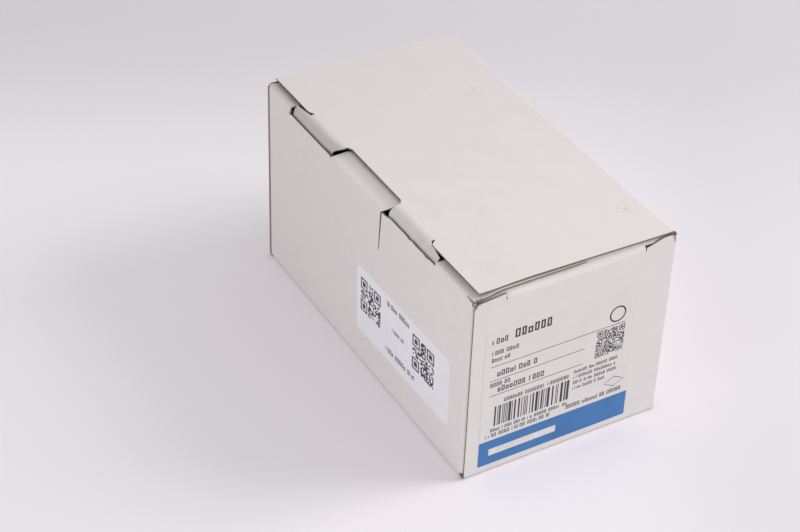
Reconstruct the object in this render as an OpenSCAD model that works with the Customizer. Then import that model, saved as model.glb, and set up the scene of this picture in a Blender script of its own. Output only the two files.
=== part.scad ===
// Folded board product carton: hinged lid with two lock tabs, tuck flap at each end, two labels.
// Millimetres, +Z up, +X to the labelled end, -Y to the front wall that the lid locks into.
// The origin is under the middle of the carton, on the table.

/* [Carton] */
// Outside length along X, over both end panels
carton_length = 121.5; // [112:0.5:150]
// Outside width along Y, over the front and rear walls
carton_width = 66; // [60:0.5:84]
// Outside height along Z, from the table to the top of the lid at its hinge
carton_height = 65; // [54:0.5:84]

/* [Board] */
// Thickness of the board
board = 0.5; // [0.4:0.05:0.6]
// Outside radius of a creased edge
crease_radius = 1.3; // [1.1:0.1:1.6]
// Clearance between panels that lie on one another
layer_gap = 0.25; // [0.2:0.05:0.35]
// Clearance between each end panel's side edges and the walls' outer faces
panel_inset = 0.3; // [0.2:0.1:1.2]

/* [Lid lock] */
// Set-back of the lid's free edge from the front wall
lid_setback = 4.2; // [4:0.1:5]
// Rise of the lid's free edge, which the bent lock tabs push up
lid_rise = 0.8; // [0:0.1:1.6]
// Set-back of the lid at the labelled end, and of the top flap at the far end
end_stagger = 1; // [0.6:0.1:2]
// Drop of the front wall's top flap below the underside of the lid
flap_drop = 0.6; // [0.5:0.1:1]
// Shift of the lock along X from the middle of the front wall
lock_shift = -4.4; // [-7:0.2:3]
// Length of the fold that is left whole between the two slits
bridge_length = 31.4; // [26:0.2:36]
// Length of the slit towards the far end
far_slit_length = 25; // [20:1:27]
// Length of the slit towards the labelled end
near_slit_length = 29; // [22:1:31]
// Drop of the slits' lower edge below the top of the lid
slit_drop = 2.7; // [2.4:0.1:3.6]
// Length of a lock tab below its bend
tab_length = 7; // [5:0.5:9]
// Length of the barb at the outer end of a lock tab
barb_length = 5; // [3:0.5:7]

/* [Flaps] */
// Depth of the front wall's top flap under the lid
top_flap_depth = 36; // [24:1:42]
// Depth of the tuck flap on each end panel
tuck_depth = 13; // [9:0.5:15]
// Length of the slit lock at each end of a tuck crease
lock_slit = 10.2; // [7:0.2:14]
// Depth of the dust flaps behind each end panel
dust_depth = 22; // [14:1:26]

/* [Tear] */
// Length of the tear down the front wall from the end of the near slit
tear_length = 13.5; // [5:0.5:20]
// Width of the tear at its top
tear_width = 1.2; // [0.6:0.1:2]

/* [Labels] */
// Thickness of both labels
label_thickness = 0.1; // [0.08:0.01:0.2]
// Width of the end label
end_label_width = 50.2; // [40:0.2:54]
// Height of the end label
end_label_height = 48.8; // [36:0.2:50]
// Width of the side label
side_label_width = 53; // [40:0.5:60]
// Height of the side label
side_label_height = 23.5; // [16:0.5:30]
// Tilt of the side label on the front wall, degrees
side_label_tilt = 1.2; // [-3:0.2:3]

/* [Hidden] */
$fn = 48;
half_length = carton_length / 2;
half_width = carton_width / 2;
past = 1;
// Bends turn by angles with a short sine and cosine, so that the steps of a section meet exactly
wedge_reach = 10;

// Levels of the layers under the lid, from the top down
lid_under = carton_height - board;
lid_tilt = asin(lid_rise / (carton_width - lid_setback));
top_flap_top = lid_under - flap_drop;
top_flap_under = top_flap_top - board;
tuck_top = top_flap_under - layer_gap;
slit_level = carton_height - slit_drop;
hinge_level = carton_height - crease_radius;

// Walls stop short of the end panels, so that the dust flaps lie behind those
dust_face = half_length - board - layer_gap;
wall_end = dust_face - crease_radius;
flap_half = half_width - panel_inset;
top_end = half_length - layer_gap;
set_back_end = top_end - end_stagger;

// Slits and the bridge between them, along X
far_slit_end = lock_shift - bridge_length / 2;
far_slit_start = far_slit_end - far_slit_length;
near_slit_start = lock_shift + bridge_length / 2;
near_slit_end = near_slit_start + near_slit_length;

// The bridge rises from the wall to just under the lid, then falls to the top flap
bridge_lean = acos(0.352);
bridge_turn = acos(0.8);
bridge_foot = 1.3;
bridge_run = 3.2;
bridge_crown = 2;
bridge_end = bridge_lean + bridge_turn;
bridge_top = lid_under - layer_gap;
bridge_start = bridge_top - bridge_foot * sin(bridge_lean) - bridge_run * cos(bridge_lean)
    - bridge_crown * (1 - sin(bridge_lean));
bridge_fall = bridge_top - top_flap_top - bridge_crown * (1 - sin(bridge_end));
bridge_tail = -bridge_fall / cos(bridge_end);
bridge_reach = bridge_foot * (1 - cos(bridge_lean)) + bridge_run * sin(bridge_lean)
    + bridge_crown * (cos(bridge_lean) - cos(bridge_end)) + bridge_tail * sin(bridge_end);
bridge_join = bridge_reach - past;

// Lock tabs: the bend clears the wall, and the lean keeps the tip clear while the lid swings up
tab_radius = lid_setback - board - layer_gap;
tab_turn = acos(-0.28);
tab_side_gap = 0.5;
tab_foot = carton_height - tab_radius - tab_length - past;
barb_drop = 0.3;
barb_top = carton_height - barb_drop;
barb_notch = 1.6;
tab_corner = 2.4;
notch_line = lid_setback - 2 * layer_gap;

// End panels: the tuck flap slopes down by enough to pass under the lid as the panel swings out
crown_radius = 1.1;
crown_lean = acos(0.5376);
crown_turn = acos(0.752192);
crown_run = 1.4;
crown_rise = crown_radius + crown_run * cos(crown_lean);
crown_reach = crown_radius + crown_run * sin(crown_lean);
panel_top = tuck_top - crown_rise;
tuck_inset = 1.5;
tuck_half = flap_half - tuck_inset;
tuck_corner = 6;
wing_reach = 1;
crease_half = flap_half - lock_slit;
tick_width = 0.3;
tick_drop = 0.4;
dust_foot = crease_radius + layer_gap;
dust_top = panel_top - layer_gap;
dust_taper = 2;

// Places of the labels, and the lean of the tear
end_label_margin = 4.6;
end_label_y = end_label_margin - half_width;
end_label_z = 3;
end_label_corner = 1.5;
side_label_x = 24.5;
side_label_z = 24;
side_label_corner = 2;
tear_lean = 2;

module bend(radius, angle) {
    // A bend of the board, turning left from the +X heading, outside face at the given radius
    translate([0, radius])
        intersection() {
            difference() {
                circle(radius);
                circle(radius - board);
            }
            polygon([for (part = [-1, 0, 1, 2]) part < 0 ? [0, 0]
                : wedge_reach * [sin(angle * part / 2), -cos(angle * part / 2)]]);
        }
}

module folded(path, step = 0) {
    // Section of a folded board: each step is [straight run, bend radius, bend angle]
    if (step < len(path)) {
        run = path[step][0];
        radius = path[step][1];
        angle = path[step][2];
        if (run > 0)
            square([run, board]);
        if (angle > 0)
            translate([run, 0]) {
                bend(radius, angle);
                translate([0, radius])
                    rotate(angle)
                        translate([0, -radius])
                            folded(path, step + 1);
            }
    }
}

module along_x(from, to) {
    // Extrudes a Y-Z section between two places on X
    translate([from, 0, 0])
        rotate([90, 0, 90])
            linear_extrude(to - from)
                children();
}

module across_y(half) {
    // Extrudes an X-Z section to both sides of the middle
    rotate([90, 0, 0])
        linear_extrude(2 * half, center = true)
            children();
}

module rounded_sheet(width, height, corner) {
    // Rectangle with round corners, from its lower left corner
    translate([corner, 0])
        square([width - 2 * corner, height]);
    translate([0, corner])
        square([width, height - 2 * corner]);
    for (x = [corner, width - corner], y = [corner, height - corner])
        translate([x, y])
            circle(corner);
}

module wall_strip(from, to, path) {
    // Half of the bottom, its fold and what stands on it, on the rear side
    along_x(from, to)
        folded(concat([[half_width - crease_radius, crease_radius, 90]], path));
}

module front_wall() {
    // Drawn on the rear side and mirrored: plain folds at the ends, slits, and the bridge
    fold = [[top_flap_top - 2 * crease_radius, crease_radius, 90],
        [top_flap_depth - crease_radius, 0, 0]];
    slit = [[slit_level - crease_radius, 0, 0]];
    bridge = [[bridge_start - crease_radius, bridge_foot, bridge_lean],
        [bridge_run, bridge_crown, bridge_turn],
        [bridge_tail, 0, 0]];
    mirror([0, 1, 0]) {
        wall_strip(-wall_end, far_slit_start, fold);
        wall_strip(far_slit_start, far_slit_end, slit);
        wall_strip(far_slit_end, near_slit_start, bridge);
        wall_strip(near_slit_start, near_slit_end, slit);
        wall_strip(near_slit_end, wall_end, fold);
    }
}

module flap_sheet(from, to, front, rear) {
    // A part of the top flap between two places on X and two depths from the front wall's face
    translate([from, front - half_width, top_flap_under])
        cube([to - from, rear - front, board]);
}

module top_flap() {
    // Whole behind the bridge, cut back behind the slits, and out over the end panels
    flap_sheet(-set_back_end, top_end, bridge_join, top_flap_depth);
    flap_sheet(-set_back_end, far_slit_end, notch_line, top_flap_depth);
    flap_sheet(near_slit_start, top_end, notch_line, top_flap_depth);
    flap_sheet(-set_back_end, -wall_end, crease_radius, top_flap_depth);
    flap_sheet(wall_end, top_end, crease_radius, top_flap_depth);
}

module dust_flap() {
    // Front dust flap at the labelled end, with its fold from the wall
    intersection() {
        translate([wall_end, -half_width, dust_foot])
            linear_extrude(tuck_top - dust_foot)
                folded([[0, crease_radius, 90], [dust_depth - crease_radius, 0, 0]]);
        along_x(wall_end - past, half_length)
            polygon([[-half_width - past, dust_foot],
                [crease_radius - half_width, dust_foot],
                [dust_depth - half_width, dust_foot + dust_taper],
                [dust_depth - half_width, dust_top - dust_taper],
                [crease_radius - half_width, dust_top],
                [crease_radius - half_width, tuck_top],
                [-half_width - past, tuck_top]]);
    }
}

module bottom_end() {
    // The bottom's tongue beyond the walls and the fold that an end panel hinges on
    across_y(flap_half)
        translate([wall_end, 0])
            folded([[half_length - crease_radius - wall_end, crease_radius, 90]]);
}

module tear() {
    // Open tear in the front wall, under the near end of the bridge
    translate([near_slit_start, -half_width + board + past, 0])
        rotate([90, 0, 0])
            linear_extrude(board + 2 * past)
                polygon([[-tear_width, slit_level + past], [0, slit_level + past],
                    [0, slit_level], [-tear_lean, slit_level - tear_length],
                    [-tear_width, slit_level]]);
}

module carton_body() {
    color([0.85, 0.84, 0.82])
        difference() {
            union() {
                front_wall();
                top_flap();
                wall_strip(-wall_end, wall_end, [[hinge_level - crease_radius, 0, 0]]);
                for (end = [0, 1])
                    mirror([end, 0, 0]) {
                        bottom_end();
                        dust_flap();
                        mirror([0, 1, 0])
                            dust_flap();
                    }
            }
            tear();
        }
}

module lock_tab(inner, outward, slit_length) {
    // A tab from its inner end outwards: bent down behind the wall, barbed at the outer end
    reach = slit_length - 2 * tab_side_gap;
    root = reach - barb_length;
    translate([inner, 0, 0])
        mirror([outward < 0 ? 1 : 0, 0, 0])
            translate([tab_side_gap, 0, 0])
                intersection() {
                    mirror([0, 1, 0])
                        along_x(0, reach)
                            translate([half_width - lid_setback, carton_height])
                                mirror([0, 1])
                                    folded([[0, tab_radius, tab_turn], [tab_length, 0, 0]]);
                    translate([0, past - half_width + lid_setback, 0])
                        rotate([90, 0, 0])
                            linear_extrude(lid_setback + 2 * past)
                                tab_outline(reach, root);
                }
}

module tab_outline(reach, root) {
    // Front view of a tab: a notch over the barb, and cut corners at the foot
    difference() {
        polygon([[0, tab_foot + tab_corner], [tab_corner, tab_foot],
            [reach - 2 * tab_corner, tab_foot], [reach, tab_foot + 2 * tab_corner],
            [reach, carton_height + past], [0, carton_height + past]]);
        translate([root + barb_notch / 2, barb_top])
            square([barb_length + past, barb_notch]);
        translate([root + barb_notch / 2, barb_top + barb_notch / 2])
            circle(barb_notch / 2);
    }
}

module flat_lid() {
    // The lid before it springs up: its fold, its panel and the two lock tabs
    along_x(-top_end, set_back_end)
        translate([half_width, hinge_level])
            rotate(90)
                folded([[0, crease_radius, 90],
                    [carton_width - crease_radius - lid_setback, 0, 0]]);
    lock_tab(far_slit_end, -1, far_slit_length);
    lock_tab(near_slit_start, 1, near_slit_length);
}

module lid() {
    color([0.88, 0.87, 0.85])
        translate([0, half_width, hinge_level])
            rotate([-lid_tilt, 0, 0])
                translate([0, -half_width, -hinge_level])
                    union()
                        flat_lid();
}

module panel_outline() {
    // End panel in the Y-Z view: shoulders outside the slit locks, ticks at the slits' inner ends
    shoulder = tuck_top - panel_top;
    difference() {
        union() {
            translate([-flap_half, crease_radius])
                square([2 * flap_half, panel_top - crease_radius]);
            for (side = [-1, 1])
                translate([side * (flap_half - lock_slit / 2), panel_top]) {
                    translate([-lock_slit / 2 + (side < 0 ? shoulder : 0), 0])
                        square([lock_slit - shoulder, shoulder]);
                    translate([side * (lock_slit / 2 - shoulder), 0])
                        intersection() {
                            circle(shoulder);
                            translate([-shoulder, 0])
                                square([2 * shoulder, shoulder]);
                        }
                }
        }
        for (side = [-1, 1])
            translate([side * (crease_half + tick_width / 2) - tick_width / 2, panel_top - tick_drop])
                square([tick_width, tick_drop + shoulder + past]);
    }
}

module tuck_outline() {
    // End panel's crown and tuck flap seen from above, with wings that close up to the shoulders
    translate([half_length - crown_reach - past, -crease_half])
        square([crown_reach + 2 * past, 2 * crease_half]);
    translate([half_length - crown_reach - tuck_corner, -tuck_half])
        square([tuck_corner + wing_reach, 2 * tuck_half]);
    translate([half_length - crown_reach - tuck_depth, -tuck_half])
        rounded_sheet(tuck_depth, 2 * tuck_half, tuck_corner);
}

module end_flap() {
    union() {
        along_x(half_length - board, half_length)
            panel_outline();
        intersection() {
            across_y(flap_half)
                translate([half_length, crease_radius])
                    rotate(90)
                        folded([[panel_top - crease_radius, crown_radius, crown_lean],
                            [crown_run, crown_radius, crown_turn],
                            [tuck_depth, 0, 0]]);
            linear_extrude(carton_height)
                tuck_outline();
        }
    }
}

module label_end_flap() {
    color([0.87, 0.86, 0.84])
        end_flap();
}

module far_end_flap() {
    color([0.86, 0.85, 0.83])
        mirror([1, 0, 0])
            end_flap();
}

module end_label() {
    color([0.90, 0.90, 0.90])
        along_x(half_length, half_length + label_thickness)
            translate([end_label_y, end_label_z])
                rounded_sheet(end_label_width, end_label_height, end_label_corner);
}

module side_label() {
    color([0.90, 0.90, 0.92])
        translate([side_label_x, -half_width, side_label_z])
            rotate([90, -side_label_tilt, 0])
                linear_extrude(label_thickness)
                    translate([-side_label_width / 2, -side_label_height / 2])
                        rounded_sheet(side_label_width, side_label_height, side_label_corner);
}

carton_body();
lid();
label_end_flap();
far_end_flap();
end_label();
side_label();
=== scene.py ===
"""Looks of a folded board product carton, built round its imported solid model.

Metres, +Z up, +X to the labelled end, -Y to the front wall that the lid locks into.
Each panel is a board face laid out as grids, folded on the model's creases and given its thickness.
"""

import math
import random
from types import SimpleNamespace

import bmesh
import bpy
from bpy.props import FloatProperty, FloatVectorProperty, PointerProperty
from bpy.types import Operator, Panel, PropertyGroup
from mathutils import Matrix, Vector, noise


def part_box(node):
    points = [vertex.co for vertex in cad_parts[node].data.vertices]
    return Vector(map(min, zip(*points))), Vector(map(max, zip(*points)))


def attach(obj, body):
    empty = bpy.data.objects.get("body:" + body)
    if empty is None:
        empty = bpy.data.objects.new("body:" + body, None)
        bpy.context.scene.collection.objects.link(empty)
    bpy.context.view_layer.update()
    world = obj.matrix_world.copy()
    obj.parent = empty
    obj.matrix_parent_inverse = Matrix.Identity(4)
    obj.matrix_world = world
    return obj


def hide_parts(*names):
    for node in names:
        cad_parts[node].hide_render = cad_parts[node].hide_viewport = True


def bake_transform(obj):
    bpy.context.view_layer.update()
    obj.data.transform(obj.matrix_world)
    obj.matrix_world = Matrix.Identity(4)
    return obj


bl_info = {
    "name": "Folded board carton",
    "version": (1, 0, 0),
    "blender": (4, 5, 0),
    "location": "View3D > Sidebar > Carton",
    "description": "Dresses the carton's solid model in worn white board, labels and studio light",
    "category": "Object",
}

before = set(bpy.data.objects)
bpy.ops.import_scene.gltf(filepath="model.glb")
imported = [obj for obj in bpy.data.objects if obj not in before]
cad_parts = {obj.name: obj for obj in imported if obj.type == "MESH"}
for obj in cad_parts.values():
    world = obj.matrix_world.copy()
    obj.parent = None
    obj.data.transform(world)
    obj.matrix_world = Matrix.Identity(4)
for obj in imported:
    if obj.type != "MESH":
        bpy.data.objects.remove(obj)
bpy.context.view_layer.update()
BODY_LOW, BODY_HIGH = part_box("carton_body")
LABEL_LOW, LABEL_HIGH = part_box("end_label")

MM = 0.001
# Points closer than this are one point of a board face
WELD = 1e-6
# Spacing of the points on a board face
GRID = 1.6 * MM
# Largest turn between neighbouring points on a fold
FOLD_STEP = math.radians(11)
# Deepest sag of a panel behind its flat plane, and how closely the sags follow one another
SAG = 0.16 * MM
SAG_PITCH = 26.0
# Slope at which a face is a fold, and how much a fold and a cut edge are rubbed
FOLD_SLOPE, FOLD_RUB, CUT_RUB = 0.29, 0.34, 0.16
# Most that a fold stretches the board's thickness, and the angle from which an edge is sharp
FOLD_STRETCH, SHARP_EDGE = 1.4, math.radians(32)
SEED = 20
# Which way each end panel faces, and the body that it is
ENDS = ((1, "label_end"), (-1, "far_end"))

# Worn places, in millimetres: where, how far it reaches and how much of the coat is gone there
WORN_PLACES = (
    ((57.6, -32.7, 62.8), 2.6, 1.0),
    ((60.7, -31.9, 62.2), 2.6, 1.0),
    ((60.3, -30.0, 63.4), 3.0, 0.75),
    ((60.5, 32.2, 64.2), 2.6, 0.9),
    ((60.7, 32.2, 62.6), 2.2, 0.8),
    ((60.2, -32.4, 1.0), 2.4, 0.6),
    ((60.2, 32.4, 1.0), 2.4, 0.6),
    ((-60.2, -32.0, 64.4), 1.6, 0.5),
    ((-60.4, 32.0, 63.6), 3.0, 0.7),
    ((-60.2, -32.4, 1.0), 2.4, 0.6),
    ((-60.2, 32.4, 1.0), 2.4, 0.6),
    ((30.0, -32.9, 62.2), 4.0, 0.8),
    ((35.5, -32.9, 62.2), 3.5, 0.8),
    ((34.6, -29.4, 64.9), 1.2, 0.8),
    ((-45.1, -32.9, 62.3), 1.8, 1.0),
)
# Grey marks from handling, in millimetres: where, how far they reach and how dark they are
SOILED_PLACES = (
    ((44.5, 26.0, 65.1), 4.5, 1.0),
    ((-28.0, 20.5, 65.3), 5.5, 0.7),
    ((27.7, -10.1, 65.3), 3.0, 0.8),
    ((3.1, -4.4, 65.4), 4.0, 0.5),
    ((-52.0, 10.0, 65.6), 6.0, 0.35),
    ((-9.7, -33.0, 25.6), 0.9, 1.0),
    ((-17.3, -32.0, 63.4), 1.0, 0.9),
    ((-16.0, -33.0, 44.0), 5.0, 0.3),
    ((-40.0, -33.0, 6.0), 16.0, 0.3),
)


class CartonSizes(PropertyGroup):
    """Sizes of the folded carton."""

    length: FloatProperty(
        name="Length", description="Outside length over both end panels",
        default=BODY_HIGH.x - BODY_LOW.x, unit="LENGTH", subtype="DISTANCE")
    width: FloatProperty(
        name="Width", description="Outside width over the front and rear walls",
        default=BODY_HIGH.y - BODY_LOW.y, unit="LENGTH", subtype="DISTANCE")
    height: FloatProperty(
        name="Height", description="From the table to the top of the lid at its hinge",
        default=65 * MM, unit="LENGTH", subtype="DISTANCE")
    lid_rise: FloatProperty(
        name="Lid rise",
        description="Rise of the lid's free edge, which the bent lock tabs push up",
        default=0.8 * MM, unit="LENGTH", subtype="DISTANCE")
    board: FloatProperty(
        name="Board", description="Thickness of the board",
        default=0.5 * MM, unit="LENGTH", subtype="DISTANCE")
    crease: FloatProperty(
        name="Crease radius", description="Outside radius of a creased edge",
        default=1.3 * MM, unit="LENGTH", subtype="DISTANCE")
    gap: FloatProperty(
        name="Layer gap", description="Clearance between panels that lie on one another",
        default=0.25 * MM, unit="LENGTH", subtype="DISTANCE")
    inset: FloatProperty(
        name="Panel inset", description="End panels' side edges inside the walls' outer faces",
        default=0.3 * MM, unit="LENGTH", subtype="DISTANCE")
    setback: FloatProperty(
        name="Lid set-back", description="Set-back of the lid's free edge from the front wall",
        default=4.2 * MM, unit="LENGTH", subtype="DISTANCE")
    stagger: FloatProperty(
        name="End stagger",
        description="Set-back of the lid at one end and of the top flap at the other",
        default=1 * MM, unit="LENGTH", subtype="DISTANCE")
    flap_drop: FloatProperty(
        name="Flap drop", description="Drop of the front top flap below the underside of the lid",
        default=0.6 * MM, unit="LENGTH", subtype="DISTANCE")
    bridge: FloatProperty(
        name="Bridge", description="Length of the fold left whole between the two slits",
        default=31.4 * MM, unit="LENGTH", subtype="DISTANCE")
    far_slit: FloatProperty(
        name="Far slit", description="Length of the slit towards the far end",
        default=25 * MM, unit="LENGTH", subtype="DISTANCE")
    near_slit: FloatProperty(
        name="Near slit", description="Length of the slit towards the labelled end",
        default=29 * MM, unit="LENGTH", subtype="DISTANCE")
    tab: FloatProperty(
        name="Lock tab", description="Length of a lock tab below its bend",
        default=7 * MM, unit="LENGTH", subtype="DISTANCE")
    tuck: FloatProperty(
        name="Tuck flap", description="Depth of the tuck flap on each end panel",
        default=13 * MM, unit="LENGTH", subtype="DISTANCE")
    sticker_width: FloatProperty(
        name="Sticker width", description="Width of the sticker on the front wall",
        default=53 * MM, unit="LENGTH", subtype="DISTANCE")
    sticker_height: FloatProperty(
        name="Sticker height", description="Height of the sticker on the front wall",
        default=23.5 * MM, unit="LENGTH", subtype="DISTANCE")
    sticker_tilt: FloatProperty(
        name="Sticker tilt", description="Turn of the sticker on the front wall",
        default=math.radians(1.2), unit="ROTATION", subtype="ANGLE")


class CartonColours(PropertyGroup):
    """Colours of the board, the labels, their print and the floor."""

    coat: FloatVectorProperty(
        name="Coat", description="White coated outside of the board",
        default=(0.770, 0.736, 0.708), subtype="COLOR", min=0, max=1)
    soil: FloatVectorProperty(
        name="Handling marks", description="Grey marks on the coat",
        default=(0.46, 0.44, 0.42), subtype="COLOR", min=0, max=1)
    core: FloatVectorProperty(
        name="Core", description="Brown core where the coat is worn through",
        default=(0.27, 0.19, 0.115), subtype="COLOR", min=0, max=1)
    cut: FloatVectorProperty(
        name="Cut edge", description="Clean cut edge of the board",
        default=(0.205, 0.170, 0.140), subtype="COLOR", min=0, max=1)
    back: FloatVectorProperty(
        name="Back", description="Uncoated inside of the board",
        default=(0.47, 0.425, 0.365), subtype="COLOR", min=0, max=1)
    label: FloatVectorProperty(
        name="Label paper", description="Paper of the end label",
        default=(0.775, 0.740, 0.720), subtype="COLOR", min=0, max=1)
    sticker: FloatVectorProperty(
        name="Sticker paper", description="Paper of the sticker on the front wall",
        default=(0.86, 0.845, 0.88), subtype="COLOR", min=0, max=1)
    ink: FloatVectorProperty(
        name="Ink", description="Dark print on the labels",
        default=(0.030, 0.029, 0.032), subtype="COLOR", min=0, max=1)
    band: FloatVectorProperty(
        name="Band", description="Blue band along the foot of the end label",
        default=(0.038, 0.180, 0.450), subtype="COLOR", min=0, max=1)
    floor: FloatVectorProperty(
        name="Floor", description="Pale floor",
        default=(0.845, 0.81, 0.84), subtype="COLOR", min=0, max=1)


def layout(context):
    """Places of the folds, slits and flaps, from the sizes in the sidebar."""
    s = context.scene.carton_sizes
    k = SimpleNamespace(board=s.board, crease=s.crease, gap=s.gap, setback=s.setback)
    k.half_x, k.half_y, k.top = s.length / 2, s.width / 2, s.height
    # Levels of the layers under the lid, from the top down
    lid_under = k.top - k.board
    k.flap_top = lid_under - s.flap_drop
    k.tuck_top = k.flap_top - k.board - k.gap
    k.slit_z = k.top - 2.7 * MM
    k.hinge_z = k.top - k.crease
    # The walls stop short of the end panels, and the dust flaps lie behind those
    k.dust_x = k.half_x - k.board - k.gap
    k.wall_x = k.dust_x - k.crease
    k.fold_y = k.half_y - k.crease
    k.flap_y = k.half_y - s.inset
    k.end_x = k.half_x - k.gap
    k.back_x = k.end_x - s.stagger
    # Over the end strips the top fold is tighter, and the flap is bent:
    # up at the far end, down at the other
    k.lip_r = 0.8 * MM
    k.bent = {-1: 0.9 * MM, 1: -0.35 * MM}
    k.hollow = {-1: 0.5 * MM, 1: 0.3 * MM}
    k.lip_z = {end: k.flap_top + rise - k.lip_r for end, rise in k.bent.items()}
    k.lip_fold = ((0, k.lip_r, -math.pi / 2),)
    # Slits, the bridge between them and the tear at its near end
    middle = -4.4 * MM
    k.far_slit = (middle - s.bridge / 2 - s.far_slit, middle - s.bridge / 2)
    k.near_slit = (middle + s.bridge / 2, middle + s.bridge / 2 + s.near_slit)
    k.tear_x, k.tear_z = k.near_slit[0] - 1.2 * MM, k.slit_z - 15 * MM
    # The bridge rises to just under the lid, then falls to the top flap
    lean, turn = math.acos(0.5), math.acos(0.8)
    foot, run, crown = 0.4 * MM, 4.3 * MM, 2 * MM
    bridge_top = lid_under - k.gap
    k.bridge_z = (bridge_top - foot * math.sin(lean) - run * math.cos(lean)
                  - crown * (1 - math.sin(lean)))
    tail = (bridge_top - k.flap_top - crown * (1 - math.sin(lean + turn))) / -math.cos(lean + turn)
    k.bridge_fold = ((0, foot, -lean), (run, crown, -turn), (tail, 0, 0))
    k.bridge_y = fold_line((-k.half_y, k.bridge_z), math.pi / 2, k.bridge_fold)[-1].x
    k.notch_y = -k.half_y + k.setback - 2 * k.gap
    k.flap_end_y = -k.half_y + 36 * MM
    # Lid, its tilt and the section of its lock tabs
    k.lid_y = -k.half_y + k.setback
    k.lid_tilt = math.asin(s.lid_rise / (s.width - k.setback))
    k.tab_fold = ((0, k.setback - k.board - k.gap, math.acos(-0.28)), (s.tab, 0, 0))
    # Each tab: where it starts, which way it goes, how far, and how much of that isn't ear
    side, ears = 0.5 * MM, (7.4 * MM, 6.6 * MM)
    k.slants = (3.4 * MM, -2.4 * MM)
    k.tabs = []
    for slit, way, length, slant, ear in (
            (k.far_slit[1], -1, s.far_slit, k.slants[0], ears[0]),
            (k.near_slit[0], 1, s.near_slit, k.slants[1], ears[1])):
        reach = length + slant - 2 * side
        k.tabs.append((slit - way * (slant - side), way, reach, reach - ear))
    # End panels with their crown and tuck flap
    lean, turn = math.acos(0.5376), math.acos(0.752192)
    crisp, run, bend = 0.4 * MM, 1.4 * MM, 1.1 * MM
    sharper = 0.7 * MM * math.tan(lean / 2)
    k.crown_fold = ((0, crisp, lean), (run + sharper, bend, turn), (s.tuck, 0, 0))
    k.panel_z = k.tuck_top - bend - run * math.cos(lean) + sharper
    k.crown_y = k.flap_y - 10.2 * MM
    k.tuck_y = k.flap_y - 1.5 * MM
    k.wing_x = k.half_x - k.board - 0.1 * MM
    k.tick, k.tick_z = 0.3 * MM, k.panel_z - 0.4 * MM
    k.dust_foot, k.dust_top = k.crease + k.gap, k.panel_z - k.gap
    k.dust_y = -k.half_y + 22 * MM
    # Where a moving panel's crease strip begins and ends
    k.strip, k.strip_flat = 0.7 * MM, 0.5 * MM
    k.foot_x = k.half_x - k.crease - k.strip_flat
    k.lid_rear_y = k.half_y - k.crease - k.strip_flat
    return k


def spread(start, end, size=GRID):
    """Even places from start to end, about one grid step apart."""
    count = max(1, round(abs(end - start) / size))
    return [start + (end - start) * i / count for i in range(count + 1)]


def chain(*places):
    """Even places through several stops, each stop kept once."""
    line = [places[0]]
    for start, end in zip(places, places[1:]):
        line += spread(start, end)[1:]
    return line


def smooth(value):
    """A soft step from 0 to 1."""
    value = min(1.0, max(0.0, value))
    return value * value * (3 - 2 * value)


def fold_line(start, heading, path, size=GRID):
    """Points along the outer face of a section: each step is (straight run, radius, turn)."""
    place = Vector(start)
    points = [place.copy()]
    for run, radius, turn in path:
        ahead = Vector((math.cos(heading), math.sin(heading)))
        if run > 0:
            points += [place + ahead * distance for distance in spread(0, run, size)[1:]]
            place = points[-1].copy()
        if turn:
            count = max(4, math.ceil(abs(turn) / FOLD_STEP))
            side = math.copysign(radius, turn)
            centre = place + side * Vector((-ahead.y, ahead.x))
            for i in range(1, count + 1):
                angle = heading + turn * i / count
                points.append(centre + side * Vector((math.sin(angle), -math.cos(angle))))
            heading += turn
            place = points[-1].copy()
    return points


def sag_depth(place):
    """How far a panel lies behind its flat plane at a place."""
    return SAG * (0.5 + 0.5 * noise.noise(place * SAG_PITCH))


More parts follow.
